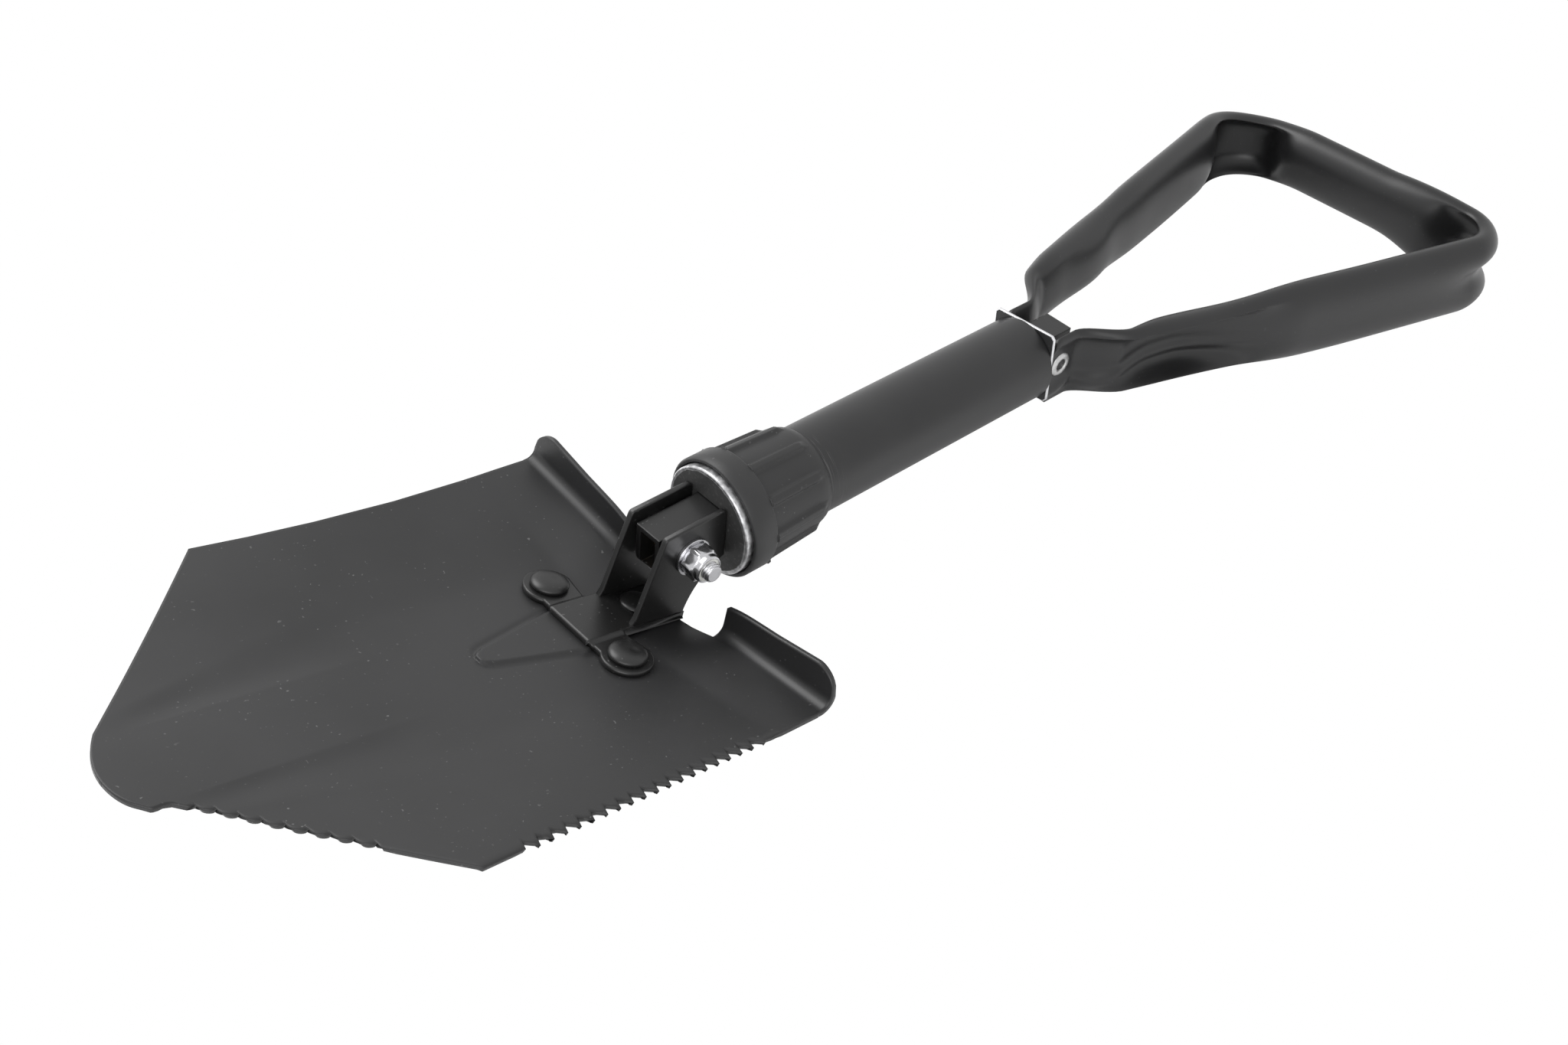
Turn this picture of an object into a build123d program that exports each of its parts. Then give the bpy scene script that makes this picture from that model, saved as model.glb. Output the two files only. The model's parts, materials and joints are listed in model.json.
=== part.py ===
"""Folding camp shovel: pressed blade, screw-lock hinge, tube shaft and folding D-handle.

Axes while modelling: X runs along the shaft from blade tip to handle, Y across, Z up.
The shaft's centre line is Y = 0, Z = 0 and the pressure disc's front face is X = 0.
On export everything moves to the row origin, the centre of the bounding box's base.
"""

import os
from math import atan, cos, hypot, radians, sin

from build123d import *

# Row origin in modelling coordinates
ROW_X = 82.05
ROW_Z = -25.495

# Shaft tube and its two ends
TUBE_R = 15.0
TUBE_BORE_R = 13.5
TUBE_START = 24.4
TUBE_END = 142.3
SLEEVE_R = 15.9
SLEEVE_END = 33.5
PLUG_END = 45.0
GUIDE_START = 96.0
GUIDE_WALL = 4.0
PLATE_SIZE = 27.0
PLATE_THICK = 1.2
PLATE_CORNER_R = 3.0
CROSS_PIN_R = 2.0
CROSS_PIN_X = 29.0

# Blade hinge
BOLT_X = -13.8
BOLT_R = 3.0
BLOCK_WIDTH = 10.4
BLOCK_HEIGHT = 16.0
BLOCK_FRONT = -23.5
BLOCK_END = 45.0
BLOCK_WALL = 1.8
BUSH_R = 4.5
RUNNING_GAP = 0.05
EAR_OUTER = 8.94
EAR_THICK = 2.0
WASHER_THICK = 1.16
WASHER_R = 6.2
SPACER_THICK = 1.44
SPACER_R = 5.5
NUT_FLATS = 10.0
NUT_THICK = 5.0
NUT_COLLAR_R = 4.7
NUT_COLLAR = 2.0
BOLT_NEAR_END = -19.5
BOLT_HEAD_R = 5.5
BOLT_HEAD = 3.8

# Screw lock
DISC_R = 18.05
DISC_THICK = 3.6
COLLAR_FRONT = 2.0
COLLAR_END = 37.5
COLLAR_RECESS_R = 18.4
COLLAR_RECESS_FLOOR = 4.0
COLLAR_THREAD_R = 15.97
COLLAR_LIP_R = 15.35
RIB_COUNT = 10
RIB_PHASE = -15.5
RIB_LENGTH = 20.5
RIB_WIDTH = 3.8
RIB_TOP_R = 18.9

# Blade: rows are X, then the height at the flat centre, the inner wing and the outer wing
BLADE_SHEET = 1.5
FLAT_HALF = 13.6
INNER_WING = 28.0
OUTER_WING = 76.0
BLADE_SECTIONS = (
    (-200.0, 21.5, 22.0, 23.7),
    (-60.0, -13.2, -13.1, -3.8),
    (-36.0, -19.16, -19.0, -8.6),
    (-12.0, -25.1, -18.2, -14.0),
)
TIP_X = -190.7
TIP_ARC_X = -185.2
TIP_ARC_HALF = 15.8
NEAR_ARC_END = (-184.2, -14.0)
CORNER_X = -131.4
CORNER_HALF = 71.0
HEEL_X = -13.0
HEEL_HALF = 70.3
NOTCH_X = -17.5
SAW_START = -118.3
SAW_PITCH = 4.187
SAW_TEETH = 19
SAW_TIP = -71.2
SAW_DEPTH = 2.6
SAW_LEAN = 0.76
LOBES = 8
LOBES_FROM = (-176.2, -16.3)
LOBES_TO = (-147.2, -49.9)
LOBE_BULGE = 1.25
TREAD_LEAN = 12.0

# Bracket on the blade
BRACKET_SHEET = 2.0
BASE_SLOPE = 0.248
RIVET_S = -33.2
RIVET_Y = 18.8
REAR_RIVET_S = -14.1
LOBE_R = 7.7
BASE_FRONT_S = -40.4
BASE_REAR_S = -2.3
PANEL_REAR_S = -20.5
PANEL_HALF = 9.6
RIVET_HEAD_R = 5.8
RIVET_HEAD = 2.4
RIVET_SHANK_R = 2.5
RIVET_TAIL_R = 3.8
RIVET_TAIL = 1.0
DART_HEIGHT = 0.9

# Handle end
PIN_X = 151.2
PIN_R = 3.2
PIN_BORE_R = 2.2
PIN_HEAD_R = 4.5
PIN_HEAD = 1.6
PIN_STAND = 1.9
TONGUE_WIDTH = 11.0
TONGUE_HEIGHT = 15.6
TONGUE_START = 100.6
TONGUE_END = 162.0
TONGUE_GAP = 0.3
ROD_R = 3.0
ROD_START = 47.0
SPRING_CUP_X = 54.0
SPRING_CUP_THICK = 2.0
SPRING_R = 8.0
SPRING_WIRE_R = 0.8
SPRING_TURNS = 9
LEG_START = 144.8
LEG_END = 157.0
LEG_WEB = 8.3
LEG_WEB_THICK = 1.8
LEG_OUTER = 13.3
LEG_HALF_HEIGHT = 13.3
LEG_CORNER_R = 4.8
GRIP_X = 347.0
GRIP_HALF = 63.6
LEG_BEND = (175.0, 23.5)
GRIP_CORNER_R = 20.0
GRIP_SEMI = (7.8, 13.0)
GRIP_WALL = 1.6

ALPHA = atan(BASE_SLOPE)
BASE_PLANE = Plane(
    origin=(BOLT_X, 0, BLADE_SECTIONS[2][1] - BASE_SLOPE * (BOLT_X - BLADE_SECTIONS[2][0])),
    x_dir=(cos(ALPHA), 0, -sin(ALPHA)),
    z_dir=(sin(ALPHA), 0, cos(ALPHA)),
)


def turned(start, end, outer, inner=0.0, mode=Mode.ADD):
    """Add or cut a round bar or ring along the shaft."""
    with BuildSketch(Plane.YZ.offset(start)) as section:
        Circle(outer)
        if inner:
            Circle(inner, mode=Mode.SUBTRACT)
    extrude(section.sketch, amount=end - start, mode=mode)


def crosswise(x, low, high, outer, inner=0.0, mode=Mode.ADD):
    """Add or cut a round bar or ring along Y, centred on height zero."""
    with BuildSketch(Plane.XZ.offset(-low)) as section:
        with Locations((x, 0)):
            Circle(outer)
            if inner:
                Circle(inner, mode=Mode.SUBTRACT)
    extrude(section.sketch, amount=low - high, mode=mode)


def squared(start, end, width, height, mode=Mode.ADD):
    """Add or cut a rectangular bar along the shaft."""
    with BuildSketch(Plane.YZ.offset(start)) as section:
        Rectangle(width, height)
    extrude(section.sketch, amount=end - start, mode=mode)


def export(builder, label):
    """Move a finished part to the row origin and write it."""
    part = builder.part.moved(Location((-ROW_X, 0, -ROW_Z)))
    part.label = label
    export_step(part, f"parts/{label}.step")


os.makedirs("parts", exist_ok=True)

# ---------------------------------------------------------------- shaft body
with BuildPart() as shaft_tube:
    turned(TUBE_START, TUBE_END, TUBE_R, TUBE_BORE_R)
    crosswise(CROSS_PIN_X, -TUBE_R - 1, TUBE_R + 1, CROSS_PIN_R, mode=Mode.SUBTRACT)
export(shaft_tube, "shaft_tube")

with BuildPart() as threaded_sleeve:
    turned(TUBE_START, SLEEVE_END, SLEEVE_R, TUBE_R)
    chamfer(threaded_sleeve.edges().filter_by(GeomType.CIRCLE).group_by(SortBy.RADIUS)[-1], 0.4)
export(threaded_sleeve, "threaded_sleeve")

with BuildPart() as front_plug:
    turned(TUBE_START, PLUG_END, TUBE_BORE_R)
    squared(TUBE_START - 1, PLUG_END + 1, BLOCK_WIDTH, BLOCK_HEIGHT, mode=Mode.SUBTRACT)
    crosswise(CROSS_PIN_X, -TUBE_R, TUBE_R, CROSS_PIN_R, mode=Mode.SUBTRACT)
export(front_plug, "front_plug")

with BuildPart() as plug_pin:
    crosswise(CROSS_PIN_X, -TUBE_R + 0.2, TUBE_R - 0.2, CROSS_PIN_R)
export(plug_pin, "plug_pin")

with BuildPart() as pivot_block:
    squared(BLOCK_FRONT, BLOCK_END, BLOCK_WIDTH, BLOCK_HEIGHT)
    front_corners = pivot_block.edges().filter_by(Axis.Y).group_by(Axis.X)[0].sort_by(Axis.Z)
    fillet(front_corners[0], 4.0)
    squared(
        BLOCK_FRONT - 1,
        BLOCK_END + 1,
        BLOCK_WIDTH - 2 * BLOCK_WALL,
        BLOCK_HEIGHT - 2 * BLOCK_WALL,
        mode=Mode.SUBTRACT,
    )
    crosswise(BOLT_X, -BLOCK_WIDTH, BLOCK_WIDTH, BUSH_R, mode=Mode.SUBTRACT)
    crosswise(CROSS_PIN_X, -BLOCK_WIDTH, BLOCK_WIDTH, CROSS_PIN_R, mode=Mode.SUBTRACT)
export(pivot_block, "pivot_block")

with BuildPart() as pivot_bush:
    crosswise(BOLT_X, -BLOCK_WIDTH / 2, BLOCK_WIDTH / 2, BUSH_R, BOLT_R + RUNNING_GAP)
export(pivot_bush, "pivot_bush")

with BuildPart() as rear_guide:
    turned(GUIDE_START, TUBE_END, TUBE_BORE_R)
    squared(
        GUIDE_START + GUIDE_WALL,
        TUBE_END + 1,
        TONGUE_WIDTH + 2 * TONGUE_GAP,
        TONGUE_HEIGHT + 2 * TONGUE_GAP,
        mode=Mode.SUBTRACT,
    )
    turned(GUIDE_START - 1, GUIDE_START + GUIDE_WALL + 1, ROD_R + 0.5, mode=Mode.SUBTRACT)
export(rear_guide, "rear_guide")

with BuildPart() as end_plate:
    with BuildSketch(Plane.YZ.offset(TUBE_END)):
        RectangleRounded(PLATE_SIZE, PLATE_SIZE, PLATE_CORNER_R)
        Rectangle(TONGUE_WIDTH + 2 * TONGUE_GAP, TONGUE_HEIGHT + 2 * TONGUE_GAP, mode=Mode.SUBTRACT)
    extrude(amount=PLATE_THICK)
    chamfer(end_plate.faces().sort_by(Axis.X)[-1].outer_wire().edges(), 0.3)
export(end_plate, "end_plate")

# ---------------------------------------------------------------- screw lock
with BuildPart() as pressure_disc:
    turned(0, DISC_THICK, DISC_R)
    chamfer(pressure_disc.edges().filter_by(GeomType.CIRCLE), 0.4)
    squared(-1, DISC_THICK + 1, BLOCK_WIDTH + 0.6, BLOCK_HEIGHT + 0.6, mode=Mode.SUBTRACT)
export(pressure_disc, "pressure_disc")

with BuildPart() as locking_collar:
    with BuildSketch(Plane.XZ) as collar_profile:
        Polygon(
            (COLLAR_FRONT, COLLAR_RECESS_R + 0.5),
            (COLLAR_FRONT + 0.2, 19.6),
            (COLLAR_FRONT + 0.8, 20.0),
            (10.4, 20.0),
            (11.1, 19.4),
            (11.6, 18.1),
            (32.5, 17.2),
            (35.0, 16.9),
            (36.7, 16.4),
            (COLLAR_END, 15.8),
            (COLLAR_END, COLLAR_LIP_R),
            (35.6, COLLAR_LIP_R),
            (35.0, COLLAR_THREAD_R),
            (COLLAR_RECESS_FLOOR, COLLAR_THREAD_R),
            (COLLAR_RECESS_FLOOR, COLLAR_RECESS_R),
            (COLLAR_FRONT + 0.5, COLLAR_RECESS_R),
            align=None,
        )
    revolve(axis=Axis.X)
    for rib in range(RIB_COUNT):
        turn = radians(RIB_PHASE + 360 / RIB_COUNT * rib)
        rib_plane = Plane(
            origin=(22.0, 16.6 * sin(turn), 16.6 * cos(turn)),
            x_dir=(1, 0, 0),
            z_dir=(0, sin(turn), cos(turn)),
        )
        with BuildSketch(rib_plane):
            SlotOverall(RIB_LENGTH, RIB_WIDTH)
        extrude(amount=RIB_TOP_R - 16.6)
export(locking_collar, "locking_collar")

# ---------------------------------------------------------------- blade body
with BuildPart() as blade:
    for x, centre, inner, outer in BLADE_SECTIONS:
        top = [
            (-OUTER_WING, outer),
            (-INNER_WING, inner),
            (-FLAT_HALF, centre),
            (FLAT_HALF, centre),
            (INNER_WING, inner),
            (OUTER_WING, outer),
        ]
        under = [(y, z - BLADE_SHEET) for y, z in reversed(top)]
        with BuildSketch(Plane.YZ.offset(x)):
            Polygon(*top, *under, align=None)
    loft(ruled=True)
    with BuildSketch(Plane.XY.offset(-60)):
        with BuildLine():
            far_edge = Polyline(
                (TIP_ARC_X, TIP_ARC_HALF),
                (CORNER_X, CORNER_HALF),
                (-114.4, 69.5),
                (-94.1, 68.4),
                (-67.4, 68.0),
                (-42.9, 68.8),
                (-29.9, 69.5),
                (HEEL_X, HEEL_HALF),
                (HEEL_X, 24.0),
                (NOTCH_X, 10.5),
                (NOTCH_X, -10.5),
                (HEEL_X, -24.0),
                (HEEL_X, -HEEL_HALF),
                (-33.0, -70.9),
            )
            saw = []
            for tooth in range(SAW_TEETH - 1, -1, -1):
                root_x = SAW_START + SAW_PITCH * tooth
                saw.append((root_x + SAW_LEAN * SAW_PITCH, SAW_TIP))
                saw.append((root_x, SAW_TIP + SAW_DEPTH))
            Polyline(
                far_edge @ 1,
                *saw,
                (SAW_START - 0.6, -70.9),
                (CORNER_X, -CORNER_HALF),
                (-147.4, -52.3),
                LOBES_TO,
            )
            step_x = (LOBES_TO[0] - LOBES_FROM[0]) / LOBES
            step_y = (LOBES_TO[1] - LOBES_FROM[1]) / LOBES
            chord = hypot(step_x, step_y)
            for lobe in range(LOBES, 0, -1):
                rear = (LOBES_FROM[0] + step_x * lobe, LOBES_FROM[1] + step_y * lobe)
                front = (rear[0] - step_x, rear[1] - step_y)
                crown = (
                    (rear[0] + front[0]) / 2 + LOBE_BULGE * step_y / chord,
                    (rear[1] + front[1]) / 2 - LOBE_BULGE * step_x / chord,
                )
                ThreePointArc(rear, crown, front)
            Polyline(LOBES_FROM, (-177.8, -16.7), (-180.2, -14.2), (-182.2, -13.4), NEAR_ARC_END)
            ThreePointArc(NEAR_ARC_END, (TIP_X, 0), (TIP_ARC_X, TIP_ARC_HALF))
        make_face()
    extrude(amount=120, mode=Mode.INTERSECT)
    lean = radians(TREAD_LEAN)
    tread_plane = Plane(
        origin=(HEEL_X - 1.0, 0, -18.0),
        x_dir=(0, 1, 0),
        z_dir=(cos(lean), 0, -sin(lean)),
    )
    for side in (-1, 1):
        with BuildSketch(tread_plane) as tread:
            Polygon(
                (side * 23.8, -2.2),
                (side * 25.3, 8.0),
                (side * 45.0, 11.6),
                (side * 70.3, 14.4),
                (side * 70.3, 1.6),
                (side * 49.0, 0.0),
                (side * INNER_WING, -1.9),
                align=None,
            )
            outer_end = tread.vertices().sort_by(Axis.X)
            outer_end = outer_end[0:2] if side < 0 else outer_end[-2:]
            fillet(outer_end.sort_by(Axis.Y)[-1], 6.0)
        extrude(amount=BLADE_SHEET)
    with BuildSketch(BASE_PLANE.offset(-0.5)) as dart:
        Polygon((-36.0, -9.5), (-36.0, 9.5), (-69.0, 3.4), (-72.4, 0.0), (-69.0, -3.4), align=None)
        fillet(dart.vertices().group_by(Axis.X)[0], 2.5)
    extrude(amount=DART_HEIGHT + 0.5, taper=20)
    for s, y in ((RIVET_S, RIVET_Y), (RIVET_S, -RIVET_Y), (REAR_RIVET_S, 0)):
        with BuildSketch(BASE_PLANE.offset(-6)):
            with Locations((s, y)):
                Circle(RIVET_SHANK_R)
        extrude(amount=12, mode=Mode.SUBTRACT)
    with BuildSketch(BASE_PLANE):
        with Locations((RIVET_S - 1.2, RIVET_Y), (RIVET_S - 1.2, -RIVET_Y)):
            Circle(LOBE_R + 1.8)
        with Locations(((BASE_FRONT_S + BASE_REAR_S) / 2, 0)):
            Rectangle(BASE_REAR_S - BASE_FRONT_S + 2, 2 * EAR_OUTER + 7)
    extrude(amount=6, mode=Mode.SUBTRACT)
export(blade, "blade")

with BuildPart() as blade_bracket:
    with BuildSketch(BASE_PLANE):
        with Locations(((BASE_FRONT_S + BASE_REAR_S) / 2, 0)):
            Rectangle(BASE_REAR_S - BASE_FRONT_S, 2 * EAR_OUTER)
        with Locations(((BASE_FRONT_S + 1.6 + RIVET_S + 6.0) / 2, 0)):
            Rectangle(RIVET_S + 4.4 - BASE_FRONT_S, 2 * RIVET_Y)
        with Locations((RIVET_S, RIVET_Y), (RIVET_S, -RIVET_Y)):
            Circle(LOBE_R)
    extrude(amount=BRACKET_SHEET)
    with BuildSketch(BASE_PLANE.offset(BRACKET_SHEET)):
        with Locations(((BASE_FRONT_S + PANEL_REAR_S) / 2, 0)):
            Rectangle(PANEL_REAR_S - BASE_FRONT_S, 2 * PANEL_HALF)
    extrude(amount=DART_HEIGHT, taper=40)
    for y in (-EAR_OUTER, EAR_OUTER - EAR_THICK):
        with BuildSketch(Plane.XZ.offset(-y)) as ear:
            with BuildLine():
                ear_edge = Polyline(
                    (BOLT_X - 2.2, -21.5),
                    (BOLT_X - 22.0, -17.4),
                    (BOLT_X - 20.4, -14.6),
                    (BOLT_X - 9.9, 11.0),
                    (BOLT_X + 13.4, 11.0),
                    (BOLT_X + 13.4, -7.0),
                )
                ThreePointArc(ear_edge @ 1, (BOLT_X + 2.4, -10.6), ear_edge @ 0)
            make_face()
            fillet(ear.vertices().sort_by(Axis.Y)[-2:], 1.8)
        extrude(amount=-EAR_THICK)
    crosswise(BOLT_X, -EAR_OUTER - 1, EAR_OUTER + 1, BOLT_R, mode=Mode.SUBTRACT)
    for s, y in ((RIVET_S, RIVET_Y), (RIVET_S, -RIVET_Y), (REAR_RIVET_S, 0)):
        with BuildSketch(BASE_PLANE.offset(-1)):
            with Locations((s, y)):
                Circle(RIVET_SHANK_R)
        extrude(amount=BRACKET_SHEET + 4, mode=Mode.SUBTRACT)
export(blade_bracket, "blade_bracket")

with BuildPart() as blade_rivets:
    for s, y in ((RIVET_S, RIVET_Y), (RIVET_S, -RIVET_Y), (REAR_RIVET_S, 0)):
        with BuildSketch(BASE_PLANE.offset(-BLADE_SHEET - 0.2)):
            with Locations((s, y)):
                Circle(RIVET_SHANK_R)
        extrude(amount=BLADE_SHEET + BRACKET_SHEET + 0.4)
        with BuildSketch(BASE_PLANE.offset(BRACKET_SHEET)):
            with Locations((s, y)):
                Circle(RIVET_HEAD_R)
        extrude(amount=RIVET_HEAD, taper=32)
        with BuildSketch(BASE_PLANE.offset(-BLADE_SHEET)):
            with Locations((s, y)):
                Circle(RIVET_TAIL_R)
        extrude(amount=-RIVET_TAIL, taper=20)
export(blade_rivets, "blade_rivets")

with BuildPart() as pivot_washers:
    for low in (-EAR_OUTER - WASHER_THICK, EAR_OUTER):
        crosswise(BOLT_X, low, low + WASHER_THICK, WASHER_R, BOLT_R)
export(pivot_washers, "pivot_washers")

with BuildPart() as pivot_spacers:
    for low in (-EAR_OUTER + EAR_THICK, EAR_OUTER - EAR_THICK - SPACER_THICK):
        crosswise(BOLT_X, low, low + SPACER_THICK, SPACER_R, BOLT_R)
export(pivot_spacers, "pivot_spacers")

NUT_FACE = -EAR_OUTER - WASHER_THICK
with BuildPart() as pivot_bolt:
    crosswise(BOLT_X, BOLT_NEAR_END, EAR_OUTER + WASHER_THICK, BOLT_R)
    crosswise(BOLT_X, EAR_OUTER + WASHER_THICK, EAR_OUTER + WASHER_THICK + BOLT_HEAD, BOLT_HEAD_R)
    fillet(pivot_bolt.edges().filter_by(GeomType.CIRCLE).sort_by(Axis.Y)[-1], 1.4)
    chamfer(pivot_bolt.edges().filter_by(GeomType.CIRCLE).sort_by(Axis.Y)[0], 0.5)
export(pivot_bolt, "pivot_bolt")

with BuildPart() as pivot_lock_nut:
    with BuildSketch(Plane.XZ.offset(-NUT_FACE)):
        with Locations((BOLT_X, 0)):
            RegularPolygon(NUT_FLATS / 2, 6, major_radius=False)
    extrude(amount=NUT_THICK)
    crosswise(BOLT_X, NUT_FACE - NUT_THICK - NUT_COLLAR, NUT_FACE - NUT_THICK, NUT_COLLAR_R)
    crosswise(BOLT_X, NUT_FACE - NUT_THICK, NUT_FACE, BOLT_R, mode=Mode.SUBTRACT)
    crosswise(
        BOLT_X,
        NUT_FACE - NUT_THICK - NUT_COLLAR,
        NUT_FACE - NUT_THICK,
        NUT_COLLAR_R - 0.7,
        mode=Mode.SUBTRACT,
    )
export(pivot_lock_nut, "pivot_lock_nut")

with BuildPart() as nut_insert:
    crosswise(
        BOLT_X,
        NUT_FACE - NUT_THICK - NUT_COLLAR + 0.3,
        NUT_FACE - NUT_THICK,
        NUT_COLLAR_R - 0.7,
        BOLT_R,
    )
export(nut_insert, "nut_insert")

# ---------------------------------------------------------------- sliding handle mount
with BuildPart() as handle_block:
    squared(TONGUE_START, TONGUE_END, TONGUE_WIDTH, TONGUE_HEIGHT)
    fillet(handle_block.faces().sort_by(Axis.X)[-1].edges(), 0.8)
    crosswise(PIN_X, -TONGUE_WIDTH, TONGUE_WIDTH, PIN_R, mode=Mode.SUBTRACT)
    turned(TONGUE_START - 1, TONGUE_START + 15, ROD_R, mode=Mode.SUBTRACT)
export(handle_block, "handle_block")

with BuildPart() as pull_rod:
    turned(ROD_START, TONGUE_START + 15, ROD_R)
    chamfer(pull_rod.edges().filter_by(GeomType.CIRCLE).sort_by(Axis.X)[0], 0.5)
export(pull_rod, "pull_rod")

with BuildPart() as spring_cup:
    turned(SPRING_CUP_X, SPRING_CUP_X + SPRING_CUP_THICK, 12.5, ROD_R)
export(spring_cup, "spring_cup")

with BuildPart() as rod_nut:
    with BuildSketch(Plane.YZ.offset(SPRING_CUP_X - NUT_THICK)):
        RegularPolygon(NUT_FLATS / 2, 6, major_radius=False)
        Circle(ROD_R, mode=Mode.SUBTRACT)
    extrude(amount=NUT_THICK)
export(rod_nut, "rod_nut")

SPRING_FROM = SPRING_CUP_X + SPRING_CUP_THICK + SPRING_WIRE_R + 0.05
SPRING_LENGTH = GUIDE_START - SPRING_WIRE_R - 0.05 - SPRING_FROM
with BuildPart() as handle_spring:
    with BuildLine():
        coil = Helix(
            pitch=SPRING_LENGTH / SPRING_TURNS,
            height=SPRING_LENGTH,
            radius=SPRING_R,
            center=(SPRING_FROM, 0, 0),
            direction=(1, 0, 0),
        )
    with BuildSketch(Plane(origin=coil @ 0, z_dir=coil % 0)):
        Circle(SPRING_WIRE_R)
    sweep(is_frenet=True)
export(handle_spring, "handle_spring")

with BuildPart() as handle_pin:
    pin_half = LEG_WEB + LEG_WEB_THICK + PIN_STAND
    crosswise(PIN_X, -pin_half, pin_half, PIN_R)
    for low in (-pin_half, pin_half - PIN_HEAD):
        crosswise(PIN_X, low, low + PIN_HEAD, PIN_HEAD_R)
    crosswise(PIN_X, -20, 20, PIN_BORE_R, mode=Mode.SUBTRACT)
export(handle_pin, "handle_pin")

with BuildPart() as pin_washers:
    for low in (-LEG_WEB + 0.3, TONGUE_WIDTH / 2):
        crosswise(PIN_X, low, low + LEG_WEB - 0.3 - TONGUE_WIDTH / 2, 5.2, PIN_R)
export(pin_washers, "pin_washers")

# ---------------------------------------------------------------- D-handle
with BuildPart() as d_handle:
    with BuildLine():
        grip_path = FilletPolyline(
            LEG_BEND,
            (GRIP_X, GRIP_HALF),
            (GRIP_X, -GRIP_HALF),
            (LEG_BEND[0], -LEG_BEND[1]),
            radius=GRIP_CORNER_R,
        )
    leg_end = Plane(origin=grip_path @ 0, x_dir=(0, 0, 1), z_dir=grip_path % 0)
    with BuildSketch(leg_end):
        Ellipse(GRIP_SEMI[1], GRIP_SEMI[0])
        Ellipse(GRIP_SEMI[1] - GRIP_WALL, GRIP_SEMI[0] - GRIP_WALL, mode=Mode.SUBTRACT)
    sweep(path=grip_path)
    leg_middle = (LEG_WEB + LEG_OUTER) / 2
    with BuildSketch(Plane.YZ.offset(LEG_END)) as flat_outer:
        with Locations((leg_middle, 0)):
            RectangleRounded(LEG_OUTER - LEG_WEB, 2 * LEG_HALF_HEIGHT, 1.6)
    with BuildSketch(leg_end) as tube_outer:
        Ellipse(GRIP_SEMI[1], GRIP_SEMI[0])
    flare = loft([flat_outer.sketch, tube_outer.sketch], mode=Mode.PRIVATE)
    with BuildSketch(Plane.YZ.offset(LEG_END)) as flat_inner:
        with Locations((LEG_WEB + LEG_WEB_THICK + 2.2, 0)):
            RectangleRounded(4.4, 2 * (LEG_HALF_HEIGHT - LEG_WEB_THICK), 1.2)
    with BuildSketch(leg_end) as tube_inner:
        Ellipse(GRIP_SEMI[1] - GRIP_WALL, GRIP_SEMI[0] - GRIP_WALL)
    hollow = loft([flat_inner.sketch, tube_inner.sketch], mode=Mode.PRIVATE)
    with BuildSketch(Plane.XZ.offset(-LEG_WEB)) as leg_side:
        with Locations(((LEG_START + LEG_END) / 2, 0)):
            Rectangle(LEG_END - LEG_START, 2 * LEG_HALF_HEIGHT)
        fillet(leg_side.vertices().group_by(Axis.X)[0], LEG_CORNER_R)
    cheek = extrude(leg_side.sketch, amount=-(LEG_OUTER - LEG_WEB), mode=Mode.PRIVATE)
    with BuildSketch(Plane.XZ.offset(-LEG_WEB - LEG_WEB_THICK)) as channel_side:
        with Locations(((LEG_START + LEG_END) / 2, 0)):
            Rectangle(LEG_END - LEG_START, 2 * (LEG_HALF_HEIGHT - LEG_WEB_THICK))
    channel = extrude(channel_side.sketch, amount=-6, mode=Mode.PRIVATE)
    leg = (flare - hollow) + (cheek - channel)
    add(leg)
    add(mirror(leg, about=Plane.XZ, mode=Mode.PRIVATE))
    crosswise(PIN_X, -12, 12, PIN_R + RUNNING_GAP, mode=Mode.SUBTRACT)
export(d_handle, "d_handle")
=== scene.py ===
"""Looks of the folding camp shovel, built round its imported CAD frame."""

import json
from math import atan2, cos, exp, hypot, pi, radians, sin, sqrt, tan

import bpy
from mathutils import Matrix, Vector


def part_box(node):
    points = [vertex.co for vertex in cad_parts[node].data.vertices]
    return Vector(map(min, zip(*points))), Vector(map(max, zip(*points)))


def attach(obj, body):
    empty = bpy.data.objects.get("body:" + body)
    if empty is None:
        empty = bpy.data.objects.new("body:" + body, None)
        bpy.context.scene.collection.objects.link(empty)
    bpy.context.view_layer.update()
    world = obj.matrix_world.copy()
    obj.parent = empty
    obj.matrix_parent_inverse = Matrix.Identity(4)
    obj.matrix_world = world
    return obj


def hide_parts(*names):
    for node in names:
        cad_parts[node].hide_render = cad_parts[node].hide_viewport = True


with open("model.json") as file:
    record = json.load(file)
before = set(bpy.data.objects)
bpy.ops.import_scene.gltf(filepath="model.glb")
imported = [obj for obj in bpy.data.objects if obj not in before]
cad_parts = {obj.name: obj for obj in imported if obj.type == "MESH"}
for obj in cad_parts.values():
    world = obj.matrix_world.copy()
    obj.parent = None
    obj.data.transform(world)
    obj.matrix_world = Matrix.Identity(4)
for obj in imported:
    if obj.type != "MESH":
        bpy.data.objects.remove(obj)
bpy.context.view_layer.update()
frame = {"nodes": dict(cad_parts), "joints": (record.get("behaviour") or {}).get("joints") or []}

JOINTS = {j["name"]: j for j in frame["joints"]}
BOLT = Vector(JOINTS["blade_fold"]["pos_m"])
PIN = Vector(JOINTS["handle_fold"]["pos_m"])
DISC_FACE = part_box("pressure_disc")[0].x
AXIS_Z = BOLT.z
MM = 0.001

# The camera of the photograph: where it stands in mm, where it looks in degrees, its lens in mm
CAMERA_AT = (-274.8, -294.8, 352.9)
CAMERA_AZIMUTH = -46.28
CAMERA_ELEVATION = 41.04
CAMERA_ROLL = 6.03
CAMERA_LENS = 40.48


def at(x, y, z):
    """A point given in millimetres from the disc's front face, on the shaft's centre line."""
    return Vector((DISC_FACE + x * MM, y * MM, AXIS_Z + z * MM))


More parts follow.
